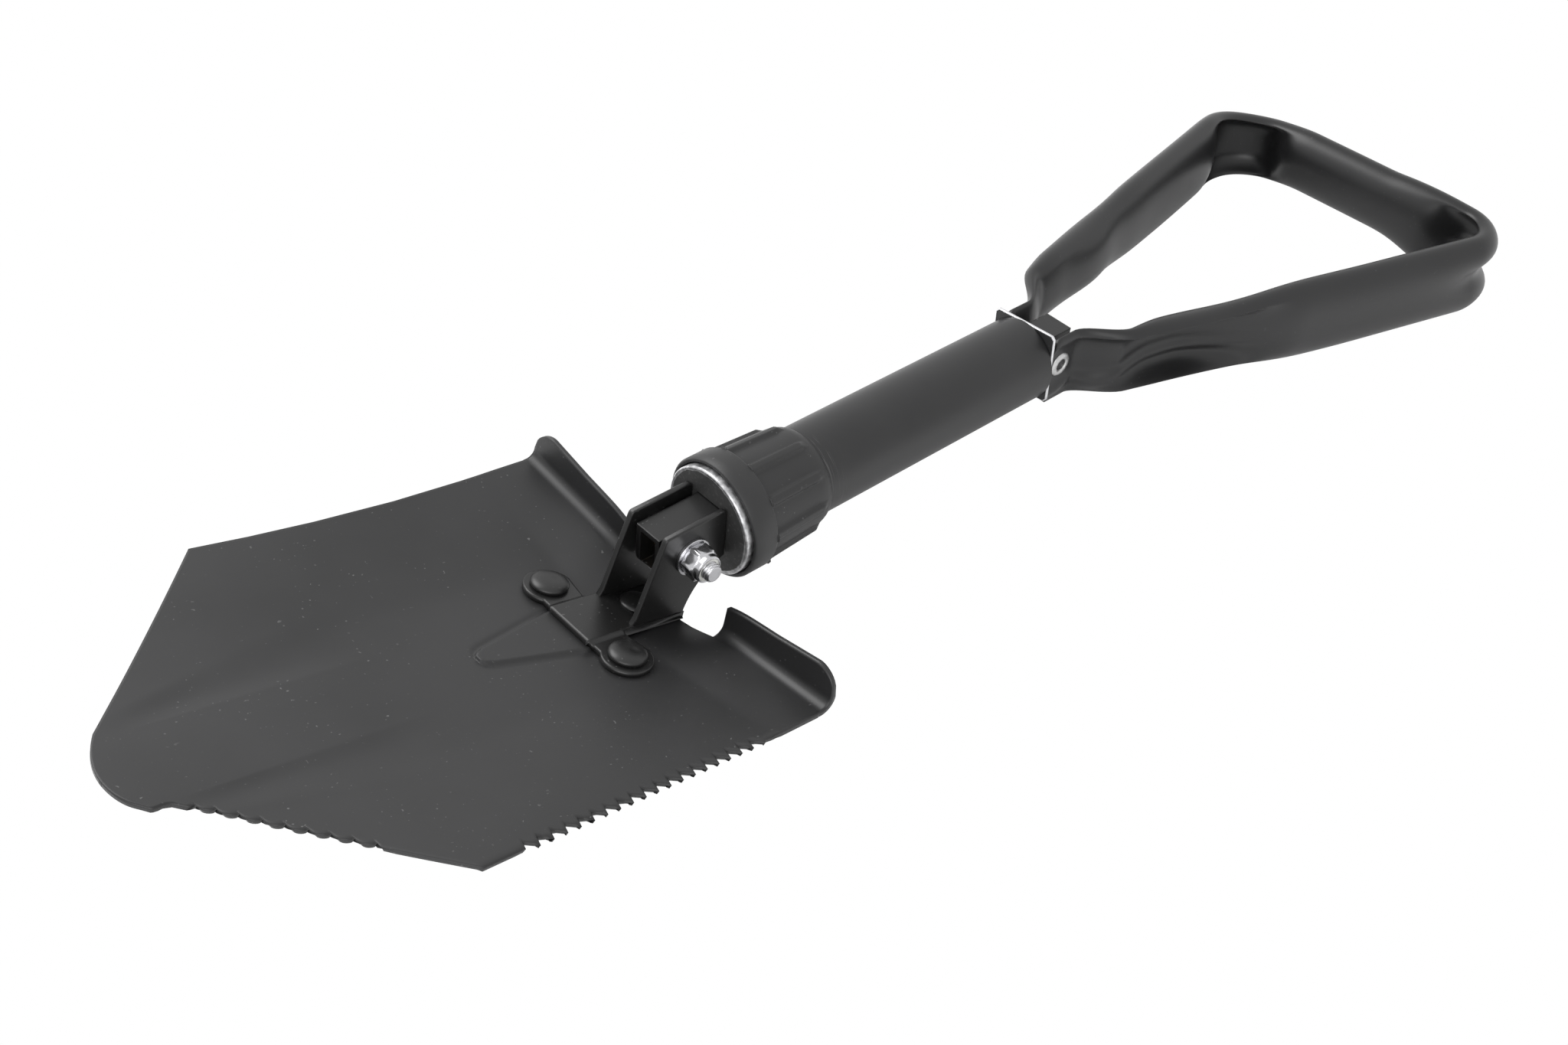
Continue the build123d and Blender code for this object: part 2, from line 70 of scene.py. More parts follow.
def clamp(v, low=0.0, high=1.0):
    return max(low, min(high, v))


def smooth(a, b, v):
    t = clamp((v - a) / (b - a))
    return t * t * (3 - 2 * t)


def lerp(a, b, t):
    return a + (b - a) * t


def table(points, x):
    """Linear interpolation in a list of (x, value)."""
    if x <= points[0][0]:
        return points[0][1]
    for (xa, va), (xb, vb) in zip(points, points[1:]):
        if x <= xb:
            return lerp(va, vb, (x - xa) / (xb - xa))
    return points[-1][1]


# ------------------------------------------------------------------ materials
class Shader:
    """Small helper that builds a node material."""

    def __init__(self, name):
        self.mat = bpy.data.materials.new(name)
        self.mat.use_nodes = True
        self.tree = self.mat.node_tree
        self.bsdf = self.tree.nodes["Principled BSDF"]
        self.coord = self.node("ShaderNodeTexCoord").outputs["Object"]

    def node(self, kind, **props):
        n = self.tree.nodes.new(kind)
        for key, value in props.items():
            setattr(n, key, value)
        return n

    def link(self, a, b):
        if hasattr(a, "is_output"):
            self.tree.links.new(a, b)
        else:
            b.default_value = a

    def noise(self, scale, detail=3.0, rough=0.55, stretch=None):
        n = self.node("ShaderNodeTexNoise")
        n.inputs["Scale"].default_value = scale
        n.inputs["Detail"].default_value = detail
        n.inputs["Roughness"].default_value = rough
        source = self.coord
        if stretch:
            m = self.node("ShaderNodeMapping")
            m.inputs["Scale"].default_value = stretch
            self.link(source, m.inputs["Vector"])
            source = m.outputs["Vector"]
        self.link(source, n.inputs["Vector"])
        return n.outputs["Fac"]

    def math(self, op, a, b=0.0, c=0.0, clip=False):
        n = self.node("ShaderNodeMath", operation=op, use_clamp=clip)
        for value, socket in zip((a, b, c), n.inputs):
            self.link(value, socket)
        return n.outputs[0]

    def ramp(self, value, low, high, out_low=0.0, out_high=1.0):
        n = self.node("ShaderNodeMapRange", interpolation_type="SMOOTHSTEP")
        self.link(value, n.inputs["Value"])
        n.inputs["From Min"].default_value = low
        n.inputs["From Max"].default_value = high
        n.inputs["To Min"].default_value = out_low
        n.inputs["To Max"].default_value = out_high
        return n.outputs["Result"]

    def mix(self, fac, a, b):
        n = self.node("ShaderNodeMix", data_type="RGBA")
        self.link(fac, n.inputs["Factor"])
        for value, socket in ((a, n.inputs["A"]), (b, n.inputs["B"])):
            self.link((*value, 1.0) if isinstance(value, tuple) else value, socket)
        return n.outputs["Result"]

    def edges(self, radius):
        """How close a point is to a convex or concave edge, 0 to 1, and the rounded normal."""
        bevel = self.node("ShaderNodeBevel", samples=6)
        bevel.inputs["Radius"].default_value = radius
        geo = self.node("ShaderNodeNewGeometry")
        dot = self.node("ShaderNodeVectorMath", operation="DOT_PRODUCT")
        self.link(bevel.outputs[0], dot.inputs[0])
        self.link(geo.outputs["Normal"], dot.inputs[1])
        return self.math("SUBTRACT", 1.0, dot.outputs["Value"], clip=True), bevel.outputs[0]

    def bump(self, height, distance, normal):
        n = self.node("ShaderNodeBump")
        n.inputs["Strength"].default_value = 1.0
        n.inputs["Distance"].default_value = distance
        self.link(height, n.inputs["Height"])
        if normal is not None:
            self.link(normal, n.inputs["Normal"])
        return n.outputs["Normal"]

    def finish(self, color, rough, metal, normal, spec=None):
        base = (*color, 1.0) if isinstance(color, tuple) else color
        self.link(base, self.bsdf.inputs["Base Color"])
        self.link(rough, self.bsdf.inputs["Roughness"])
        self.link(metal, self.bsdf.inputs["Metallic"])
        self.link(normal, self.bsdf.inputs["Normal"])
        if spec is not None:
            self.bsdf.inputs["Specular IOR Level"].default_value = spec
        return self.mat


def powder_coat(name, tone, rough, wear=0.5, specks=1.0, grain=1.0):
    """Near-black satin powder coat: fine grain, faint mottling, dust specks and rubbed edges."""
    s = Shader(name)
    patch = s.noise(16.0, 4.0)
    fine = s.noise(1400.0, 2.0)
    dark = tuple(v * 0.8 for v in tone)
    light = tuple(v * 1.25 for v in tone)
    color = s.mix(s.ramp(patch, 0.3, 0.7), dark, light)
    specks_at = s.ramp(s.noise(1100.0, 0.0), 0.79, 0.83)
    dust = s.math("MULTIPLY", specks_at, s.ramp(s.noise(70.0, 3.0), 0.4, 0.65))
    dust = s.math("MULTIPLY", dust, 0.35 * specks)
    color = s.mix(dust, color, (0.2, 0.2, 0.2))
    edge, normal = s.edges(0.0006)
    rub = s.ramp(s.math("MULTIPLY", edge, s.ramp(s.noise(160.0, 4.0), 0.35, 0.7)), 0.05, 0.25)
    rub = s.math("MULTIPLY", rub, wear)
    color = s.mix(rub, color, (0.2, 0.2, 0.205))
    metal = s.math("MULTIPLY", rub, 0.8)
    sheen = s.ramp(patch, 0.25, 0.75, rough - 0.03, rough + 0.04)
    roughness = s.math("ADD", sheen, s.math("MULTIPLY", dust, 0.4))
    coarse = s.math("MULTIPLY", s.noise(420.0, 3.0), 0.8 * grain)
    height = s.math("ADD", s.math("MULTIPLY", fine, 0.7 * grain), coarse)
    return s.finish(color, roughness, metal, s.bump(height, 0.000012, normal), 0.5)


def bright_metal(name, tone, rough, stretch=None, scratch=0.5, dirt=0.4):
    """Plated or bare steel: grain, fine scratches and a little grime in random patches."""
    s = Shader(name)
    mottle = s.noise(140.0, 4.0)
    grain = s.noise(700.0, 3.0, stretch=stretch)
    edge, normal = s.edges(0.0005)
    color = s.mix(s.ramp(mottle, 0.3, 0.75), tuple(v * 0.85 for v in tone), tone)
    grime = s.math("MULTIPLY", s.ramp(s.noise(260.0, 5.0), 0.55, 0.75), dirt)
    color = s.mix(grime, color, (0.06, 0.055, 0.05))
    bright = tuple(min(1, v * 1.25) for v in tone)
    color = s.mix(s.math("MULTIPLY", s.ramp(edge, 0.05, 0.25), 0.6), color, bright)
    sheen = s.ramp(grain, 0.3, 0.7, rough - 0.04, rough + 0.06)
    roughness = s.math("ADD", sheen, s.math("MULTIPLY", grime, 0.25))
    height = s.math("ADD", grain, s.math("MULTIPLY", mottle, 0.6))
    return s.finish(color, roughness, 1.0, s.bump(height, 0.000005 * (0.5 + scratch), normal))


def tube_coat():
    """The shaft's coat, with faint rings rubbed by the collar near its back edge."""
    s = Shader("tube_coat")
    patch = s.noise(22.0, 4.0)
    fine = s.noise(1400.0, 2.0)
    color = s.mix(s.ramp(patch, 0.3, 0.7), (0.0085, 0.0085, 0.009), (0.014, 0.014, 0.0145))
    split = s.node("ShaderNodeSeparateXYZ")
    s.link(s.coord, split.inputs[0])
    start = at(37.5, 0, 0).x
    near = s.ramp(split.outputs["X"], start, start + 0.009, 1.0, 0.0)
    rings = s.ramp(s.noise(60.0, 4.0, stretch=(38.0, 1.0, 1.0)), 0.56, 0.66)
    arc = s.ramp(s.noise(45.0, 2.0), 0.42, 0.6)
    mark = s.math("MULTIPLY", s.math("MULTIPLY", near, rings), s.math("MULTIPLY", arc, 0.45))
    color = s.mix(mark, color, (0.2, 0.2, 0.2))
    normal = s.edges(0.0006)[1]
    height = s.math("ADD", fine, s.math("MULTIPLY", mark, -1.5))
    roughness = s.ramp(patch, 0.25, 0.75, 0.4, 0.46)
    metal = s.math("MULTIPLY", mark, 0.5)
    return s.finish(color, roughness, metal, s.bump(height, 0.000012, normal), 0.5)


def disc_finish():
    """Coated face with a bright, scratched rim."""
    s = Shader("disc_finish")
    split = s.node("ShaderNodeSeparateXYZ")
    s.link(s.coord, split.inputs[0])
    y = split.outputs["Y"]
    z = s.math("SUBTRACT", split.outputs["Z"], AXIS_Z)
    radius = s.math("SQRT", s.math("ADD", s.math("MULTIPLY", y, y), s.math("MULTIPLY", z, z)))
    wander = s.math("SUBTRACT", s.noise(220.0, 4.0), 0.5)
    ragged = s.math("ADD", radius, s.math("MULTIPLY", wander, 0.0012))
    rim = s.ramp(ragged, 0.0166, 0.0170)
    grain = s.noise(500.0, 4.0)
    metal = s.mix(s.ramp(grain, 0.35, 0.7), (0.42, 0.42, 0.43), (0.78, 0.78, 0.79))
    gritty = s.ramp(s.noise(900.0, 3.0), 0.55, 0.75)
    color = s.mix(rim, s.mix(gritty, (0.03, 0.03, 0.03), (0.075, 0.075, 0.075)), metal)
    normal = s.edges(0.0005)[1]
    roughness = s.math("ADD", s.math("MULTIPLY", rim, -0.12), s.ramp(grain, 0.3, 0.7, 0.42, 0.52))
    return s.finish(color, roughness, s.math("MULTIPLY", rim, 0.95), s.bump(grain, 0.00002, normal))


def nylon():
    """The undyed insert of the lock nut."""
    s = Shader("nylon_natural")
    fine = s.noise(500.0, 3.0)
    color = s.mix(s.ramp(s.noise(120.0, 3.0), 0.3, 0.7), (0.62, 0.62, 0.58), (0.78, 0.78, 0.75))
    normal = s.edges(0.0003)[1]
    return s.finish(color, s.ramp(fine, 0.3, 0.7, 0.4, 0.55), 0.0, s.bump(fine, 0.00002, normal))


BLADE_COAT = powder_coat("blade_coat", (0.011, 0.011, 0.0115), 0.42, wear=0.5, specks=1.2)
RIVET_COAT = powder_coat("rivet_coat", (0.009, 0.009, 0.009), 0.34, wear=0.2)
HINGE_COAT = powder_coat("hinge_coat", (0.007, 0.007, 0.007), 0.32, wear=0.35)
COLLAR_COAT = powder_coat("collar_coat", (0.015, 0.015, 0.0155), 0.5, wear=0.12, grain=1.6)
GRIP_COAT = powder_coat("grip_coat", (0.008, 0.008, 0.0085), 0.36, wear=0.1, specks=0.4)
TUBE_COAT = tube_coat()
DISC_FINISH = disc_finish()
ZINC = bright_metal("zinc_plate", (0.62, 0.62, 0.64), 0.17, scratch=0.1, dirt=0.12)
PLATE_ZINC = bright_metal("plate_zinc", (0.8, 0.8, 0.82), 0.4, scratch=0.3, dirt=0.05)
BARE = bright_metal("bare_steel", (0.6, 0.6, 0.6), 0.34, scratch=1.0, dirt=0.6)
SPRING = bright_metal("spring_wire", (0.33, 0.33, 0.35), 0.32, dirt=0.6)
BRONZE = bright_metal("bush_bronze", (0.62, 0.42, 0.2), 0.35)
NYLON = nylon()


# ------------------------------------------------------------------ mesh helpers
def piece(name, verts, faces, mat, body, stands_for=(), sharp=35.0):
    """A mesh that rides on a body and may stand for CAD nodes."""
    mesh = bpy.data.meshes.new(name)
    mesh.from_pydata([tuple(v) for v in verts], [], faces)
    mesh.validate()
    mesh.update()
    mesh.polygons.foreach_set("use_smooth", [True] * len(mesh.polygons))
    mesh.set_sharp_from_angle(angle=radians(sharp))
    mesh.materials.append(mat)
    obj = bpy.data.objects.new(name, mesh)
    bpy.context.scene.collection.objects.link(obj)
    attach(obj, body)
    if stands_for:
        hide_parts(*stands_for)
    return obj


def rings_mesh(rings, cap=True, loop=False):
    """Verts and faces of a skin over rings of equal length; loop joins the last to the first."""
    n = len(rings[0])
    verts = [v for ring in rings for v in ring]
    faces = []
    count = len(rings)
    for i in range(count if loop else count - 1):
        j = (i + 1) % count
        for k in range(n):
            m = (k + 1) % n
            faces.append((i * n + k, i * n + m, j * n + m, j * n + k))
    if cap and not loop:
        faces.append(tuple(range(n))[::-1])
        faces.append(tuple(range((count - 1) * n, count * n)))
    return verts, faces


def lathe(profile, segments, place, radius_at=None, loop=True):
    """Rings turned about an axis. profile is a list of (distance along the axis, radius) in mm;
    place maps (along, across, up) in mm to a point."""
    rings = []
    for along, r in profile:
        ring = []
        for k in range(segments):
            a = 2 * pi * k / segments
            rr = radius_at(along, r, a) if radius_at else r
            ring.append(place(along, rr * sin(a), rr * cos(a)))
        rings.append(ring)
    return rings_mesh(rings, cap=not loop, loop=loop)


def across_at(x0):
    """A place function for parts turned about Y at distance x0; along counts towards -Y."""
    return lambda along, across, up: at(x0 + across, -along, up)


# ------------------------------------------------------------------ blade
# Half width of the flat down the middle, and the sheet's height on the centre line, at the first crease
# and at the edge for a few sections along it.
FLAT = 13.6
SECOND_CREASE = 28.0
SECTIONS = (
    (-200.0, 21.5, 22.0, 23.7),
    (-60.0, -13.2, -13.1, -3.8),
    (-36.0, -19.16, -19.0, -8.6),
    (-12.0, -25.1, -18.2, -14.0),
)
TIP = -190.7
TIP_ARC_END = -185.2
TIP_ARC_HALF = 15.8
CORNER = -131.4
CORNER_HALF = 71.0
NOTCH = -17.8
HEEL = -13.0
SHEET = 1.5
DART_START = -84.0
DART_ROUND = -81.2
SAW_FROM, SAW_STEP, SAW_COUNT, SAW_LEAN = -118.3, 4.187, 19, 0.76
SAW_ROOT, SAW_TIP = 68.9, 71.8
HEEL_SIDE = 70.95
LOBES_A, LOBES_B, LOBES = (-176.2, 16.3), (-147.2, 49.9), 8
LOBE_BULGE = 1.25
NEAR_NICK = [(-185.2, 13.5), (-184.0, 14.1), (-182.6, 13.5), (-180.2, 14.2), (-177.8, 16.7), LOBES_A]
FAR_EDGE = [
    (-131.4, 71.0),
    (-114.4, 69.5),
    (-94.1, 68.4),
    (-67.4, 68.0),
    (-42.9, 68.8),
    (-29.9, 69.5),
    (-13.0, 70.3),
]


def soft_hinge(v, width):
    """Zero below 0 and v above 0, rounded over width."""
    return 0.5 * (v + sqrt(v * v + width * width))


def wedge(x, a):
    """The soft pressed valleys that fan out from the creases near the tip."""
    t = clamp((x + 181.0) / 68.0)
    trough = lerp(17.0, 21.0, t)
    toe = lerp(21.0, 37.0, t)
    deep = 0.5 * smooth(-184.0, -160.0, x) * smooth(-100.0, -130.0, x)
    if a <= FLAT or a >= toe:
        return 0.0
    if a < trough:
        return -deep * sin(0.5 * pi * (a - FLAT) / (trough - FLAT))
    return -deep * 0.5 * (1 + cos(pi * (a - trough) / (toe - trough)))


def sheet_height(x, y):
    """Top of the blade sheet, in mm."""
    centre = table([(s[0], s[1]) for s in SECTIONS], x)
    inner = table([(s[0], s[2]) for s in SECTIONS], x)
    outer = table([(s[0], s[3]) for s in SECTIONS], x)
    slope_in = (inner - centre) / 14.4
    slope_out = (outer - inner) / 48.0
    a = abs(y)
    w = lerp(0.5, 4.0, smooth(-120.0, -70.0, x))
    z = centre + slope_in * (soft_hinge(a - FLAT, w) - soft_hinge(-FLAT, w))
    outer_fold = soft_hinge(a - SECOND_CREASE, 5.0) - soft_hinge(-SECOND_CREASE, 5.0)
    z += (slope_out - slope_in) * outer_fold
    z += wedge(x, a)
    # The raised dart in front of the bracket, with a groove round it
    half = lerp(2.9, 9.8, clamp((x - DART_START) / 30.0))
    if x < DART_ROUND:
        half = 3.1 * sqrt(clamp(1 - ((DART_ROUND - x) / 3.0) ** 2))
    inside = smooth(half + 0.4, half - 0.4, a) * smooth(-84.6, -83.8, x)
    groove = exp(-(((a - half - 1.2) / 1.1) ** 2)) * smooth(-86.5, -83.5, x)
    groove *= 1.0 if y > 0 else 0.35
    z += (0.9 * inside - 0.45 * groove) * smooth(-46.5, -49.5, x)
    return z


def far_limit(x):
    """Distance of the far edge from the centre line."""
    if x < TIP_ARC_END:
        return TIP_ARC_HALF * sqrt(clamp((x - TIP) / 5.5))
    if x < CORNER:
        return lerp(TIP_ARC_HALF, CORNER_HALF, (x - TIP_ARC_END) / (CORNER - TIP_ARC_END))
    return table(FAR_EDGE, x)


def near_limit(x):
    """Distance of the near edge from the centre line, with its lobes and saw teeth."""
    if x <= TIP_ARC_END:
        return far_limit(x) * (1 - 0.14 * smooth(TIP, -186.0, x))
    if x < LOBES_A[0]:
        return table(NEAR_NICK, x)
    if x <= LOBES_B[0]:
        sx, sy = (LOBES_B[0] - LOBES_A[0]) / LOBES, (LOBES_B[1] - LOBES_A[1]) / LOBES
        chord = hypot(sx, sy)
        radius = chord * chord / 8 / LOBE_BULGE + LOBE_BULGE / 2
        index = min(LOBES - 1, int((x - LOBES_A[0]) / sx))
        mx, my = LOBES_A[0] + sx * (index + 0.5), LOBES_A[1] + sy * (index + 0.5)
        back_off = radius - LOBE_BULGE
        cx, cy = mx + back_off * sy / chord, my - back_off * sx / chord
        return cy + sqrt(max(0.0, radius * radius - (x - cx) ** 2))
    if x < CORNER:
        return table([(LOBES_B[0], 52.3), (CORNER, CORNER_HALF)], x)
    if x < SAW_FROM:
        return table([(CORNER, CORNER_HALF), (SAW_FROM - 0.6, 70.9), (SAW_FROM, SAW_ROOT)], x)
    if x < SAW_FROM + SAW_STEP * SAW_COUNT:
        cell = (x - SAW_FROM) / SAW_STEP
        t = cell % 1.0
        if t < SAW_LEAN:
            return lerp(SAW_ROOT, SAW_TIP, t / SAW_LEAN)
        low = SAW_ROOT if cell < SAW_COUNT - 1 else HEEL_SIDE
        return lerp(SAW_TIP, low, (t - SAW_LEAN) / (1 - SAW_LEAN))
    return table([(-38.7, HEEL_SIDE), (-33.0, 70.9), (HEEL, 70.3)], x)


def blade_rows():
    """Stations along the blade, placed so that every lobe and tooth keeps its corners."""
    xs = set()
    for i in range(15):
        xs.add(round(TIP + 5.5 * (i / 14) ** 2, 3))
    step = (LOBES_B[0] - LOBES_A[0]) / LOBES
    for i in range(LOBES):
        for f in (0.004, 0.03, 0.09, 0.18, 0.3, 0.45, 0.6, 0.75, 0.88, 0.996):
            xs.add(round(LOBES_A[0] + step * (i + f), 3))
    xs |= {-184.6, -183.4, -182.2, -181.2, -180.2, -179.0, -177.8}
    xs |= {LOBES_A[0], LOBES_B[0] + 0.02, CORNER, SAW_FROM - 0.6}
    for i in range(SAW_COUNT + 1):
        xs.add(round(SAW_FROM + SAW_STEP * i, 3))
    for i in range(SAW_COUNT):
        xs.add(round(SAW_FROM + SAW_STEP * (i + SAW_LEAN), 3))
    x = -145.0
    while x < NOTCH:
        xs.add(round(x, 3))
        x += 0.6 if -88 < x < -46 else 1.8
    xs.add(NOTCH)
    ordered = sorted(xs)
    kept = [ordered[0]]
    for x in ordered[1:]:
        if x - kept[-1] > 0.012:
            kept.append(x)
    return kept


def build_blade():
    """The pressed sheet with its two upturned foot treads at the heel."""
    inner_n, outer_n = 26, 64
    panel_half = 10.5

    def half_row(limit, inner):
        cells = [inner * i / inner_n for i in range(inner_n)]
        edge = min(1.3, 0.2 * limit)
        middle = [lerp(inner, limit - edge, (i / (outer_n - 2)) ** 1.2) for i in range(outer_n - 1)]
        return cells + middle + [limit - 0.5 * edge, limit]

    verts, faces = [], []
    rows = blade_rows()
    for x in rows:
        near, far = near_limit(x), far_limit(x)
        if x <= TIP + 0.01:
            near = far = 0.6
        left = [-v for v in half_row(near, min(panel_half, 0.4 * near))][::-1]
        right = half_row(far, min(panel_half, 0.4 * far))[1:]
        row = [(x, y, sheet_height(x, y)) for y in left + right]
        if LOBES_A[0] < x < -36.0:
            ground = 0.55 if x > SAW_FROM - 1 else 0.3
            row[0] = (x, row[0][1], row[0][2] - ground)
            row[1] = (x, row[1][1], row[1][2] - 0.4 * ground)
        verts += row
    width = 2 * (inner_n + outer_n) + 1
    for i in range(len(rows) - 1):
        for k in range(width - 1):
            a = i * width + k
            faces.append((a, a + width, a + width + 1, a + 1))
    last = (len(rows) - 1) * width
    bend_r, lean = 4.0, radians(80.0)
    for side, first in ((-1, last), (1, last + width - 1 - outer_n)):
        previous = list(range(first, first + outer_n + 1))
        order = list(range(outer_n + 1)) if side > 0 else list(range(outer_n, -1, -1))
        steps = [("flat", (i + 1) / 3) for i in range(3)]
        steps += [("bend", (i + 1) / 10) for i in range(10)]
        steps += [("rise", (i + 1) / 8) for i in range(8)]
        for kind, f in steps:
            current = []
            along = f if kind == "flat" else 1.0
            x0 = lerp(NOTCH, HEEL - bend_r, along)
            for k in order:
                inner = lerp(panel_half, 24.0, along)
                y = lerp(inner, lerp(70.2, 70.3, along), (k / outer_n) ** 1.2)
                x, z = x0, sheet_height(x0, y)
                if kind != "flat":
                    turn = lean * (f if kind == "bend" else 1.0)
                    x += bend_r * sin(turn)
                    z += bend_r * (1 - cos(turn)) - 0.1 * bend_r * sin(turn)
                if kind == "rise":
                    tall = table([(24.0, 6.1), (45.0, 7.0), (62.0, 8.4), (66.0, 8.2)], y)
                    if y > 62.0:
                        tall *= max(0.03, sqrt(max(0.0, 1 - ((y - 62.0) / 8.3) ** 2)))
                    x += tall * f * cos(lean)
                    z += tall * f * sin(lean)
                current.append(len(verts))
                verts.append((x, side * y, z))
            for k in range(outer_n):
                faces.append((previous[k], current[k], current[k + 1], previous[k + 1]))
            previous = current
    points = [at(*v) for v in verts]
    obj = piece("blade_sheet", points, faces, BLADE_COAT, "blade", ["blade"], 60)
    solid = obj.modifiers.new("thickness", "SOLIDIFY")
    solid.thickness = SHEET * MM
    solid.offset = -1.0


build_blade()


# ------------------------------------------------------------------ bracket and rivets
HINGE_X = -13.8
BASE_SLOPE = 0.248
BASE_N = Vector((BASE_SLOPE, 0, 1)).normalized()
BASE_X = Vector((1, 0, -BASE_SLOPE)).normalized()
BASE_O = Vector((HINGE_X, 0, -19.16 - BASE_SLOPE * 22.2))
RIVET_S, RIVET_Y, REAR_RIVET_S = -33.2, 18.8, -14.1
LOBE_R = 7.9
FOOT_FRONT, FOOT_REAR = -40.4, -2.3
FOOT_TOP = 2.1
FOOT_SHEET = 2.0
EAR_NEAR_Y, EAR_FAR_Y = -8.94, 6.94


def on_base(s, y, h):
    """A point over the blade's sloping middle: along it, across it and above it, in mm."""
    p = BASE_O + BASE_X * s + Vector((0, 1, 0)) * y + BASE_N * h
    return at(p.x, p.y, p.z)


def bracket_edges(y):
    """Front and rear of the bracket's foot at a distance from the centre line."""
    a = abs(y)
    lobe = sqrt(max(0.0, LOBE_R**2 - (a - RIVET_Y) ** 2))
    if a > RIVET_Y:
        return RIVET_S - lobe, RIVET_S + lobe
    front = FOOT_FRONT if a < 9.4 else lerp(FOOT_FRONT, -39.2, clamp((a - 9.4) / 1.4))
    if a > RIVET_Y - LOBE_R:
        front = min(front, RIVET_S - lobe)
    rear = FOOT_REAR if a < 9.0 else lerp(-27.2, -25.4, clamp((a - 9.0) / 9.8))
    return front, rear


def bracket_top(s, y):
    """Height of the foot's upper face over the blade, with its raised middle."""
    raised = smooth(10.6, 8.8, abs(y)) * smooth(-16.5, -20.5, s)
    return FOOT_TOP + 0.9 * raised


def build_foot():
    """The bracket's foot, a sheet riveted on the blade."""
    verts, faces = [], []
    columns = [-RIVET_Y - LOBE_R + 0.02]
    while columns[-1] < RIVET_Y + LOBE_R - 0.3:
        columns.append(columns[-1] + (0.2 if abs(abs(columns[-1]) - RIVET_Y) > 6.4 else 0.4))
    columns.append(RIVET_Y + LOBE_R - 0.02)
    cells = 40
    for y in columns:
        front, rear = bracket_edges(y)
        for i in range(cells + 1):
            s = lerp(front, rear, i / cells)
            verts.append(on_base(s, y, bracket_top(s, y)))
    step = cells + 1
    for i in range(len(columns) - 1):
        for k in range(cells):
            a = i * step + k
            faces.append((a, a + 1, a + step + 1, a + step))
    nodes = ["blade_bracket"]
    foot = piece("bracket_foot", verts, faces, HINGE_COAT, "blade", nodes, 50)
    solid = foot.modifiers.new("thickness", "SOLIDIFY")
    solid.thickness = FOOT_SHEET * MM
    solid.offset = -1.0


def build_ears():
    """The two upright ears that carry the hinge bolt."""
    outline = [(-2.2, -21.9), (-12.0, -19.6), (-22.6, -17.0), (-20.4, -14.2), (-10.3, 9.9), (-9.9, 10.6)]
    outline += [(-9.2, 11.0), (12.4, 11.0), (13.2, 10.4), (13.4, 9.4), (13.4, -7.0)]
    for i in range(1, 12):
        a = i / 12
        bow = 4 * a * (1 - a) * 2.4
        outline.append((lerp(13.4, -2.2, a) - bow * 0.69, lerp(-7.0, -21.9, a) + bow * 0.72))
    outline = outline[::-1]
    n = len(outline)
    for name, y0 in (("ear_near", EAR_NEAR_Y), ("ear_far", EAR_FAR_Y)):
        points = [at(HINGE_X + x, y0 + d, z) for d in (0.0, FOOT_SHEET) for x, z in outline]
        sides = [(k, (k + 1) % n, (k + 1) % n + n, k + n) for k in range(n)]
        caps = [tuple(range(n))[::-1], tuple(range(n, 2 * n))]
        ear = piece(name, points, sides + caps, HINGE_COAT, "blade", (), 40)
        soft = ear.modifiers.new("soft_edges", "BEVEL")
        soft.width = 0.4 * MM
        soft.segments = 3
        soft.limit_method = "ANGLE"


build_foot()
build_ears()


def dome(name, s, y, base, radius, tall):
    """A rivet: a low domed head over the bracket, its shank and a flat tail under the blade."""
    profile = [(-2.5, 0.01), (-2.5, 3.4), (-2.1, 3.8), (-1.5, 3.8), (-1.5, 2.5), (base, 2.5)]
    profile += [(base, radius - 0.5), (base + 0.3, radius - 0.2), (base + 0.9, radius)]
    for i in range(14):
        a = (i + 1) / 14 * pi / 2
        profile.append((base + 0.9 + (tall - 0.9) * sin(a), max(0.01, radius * cos(a) ** 0.75)))
    dimple = 0.35 if y < 0 else 0.15

    def place(h, a, b):
        dent = dimple * exp(-(((a - 1.4) ** 2 + (b + 0.8) ** 2) / 1.6)) if h > base + 0.9 else 0.0
        return on_base(s + a, y + b, h - dent)

    verts, faces = lathe(profile, 64, place, loop=False)
    piece(name, verts, faces, RIVET_COAT, "blade", ["blade_rivets"])


dome("rivet_far", RIVET_S, RIVET_Y, FOOT_TOP, 6.0, 2.7)
dome("rivet_near", RIVET_S, -RIVET_Y, FOOT_TOP, 6.0, 2.7)
dome("rivet_rear", REAR_RIVET_S, 0.0, FOOT_TOP, 5.4, 2.0)


# ------------------------------------------------------------------ screw lock and tube
RIB_ANGLE = 36.0
RIB_OFFSET = 15.5
TUBE_START, TUBE_END = 24.4, 142.3
TUBE_R, TUBE_INNER_R = 15.0, 13.5


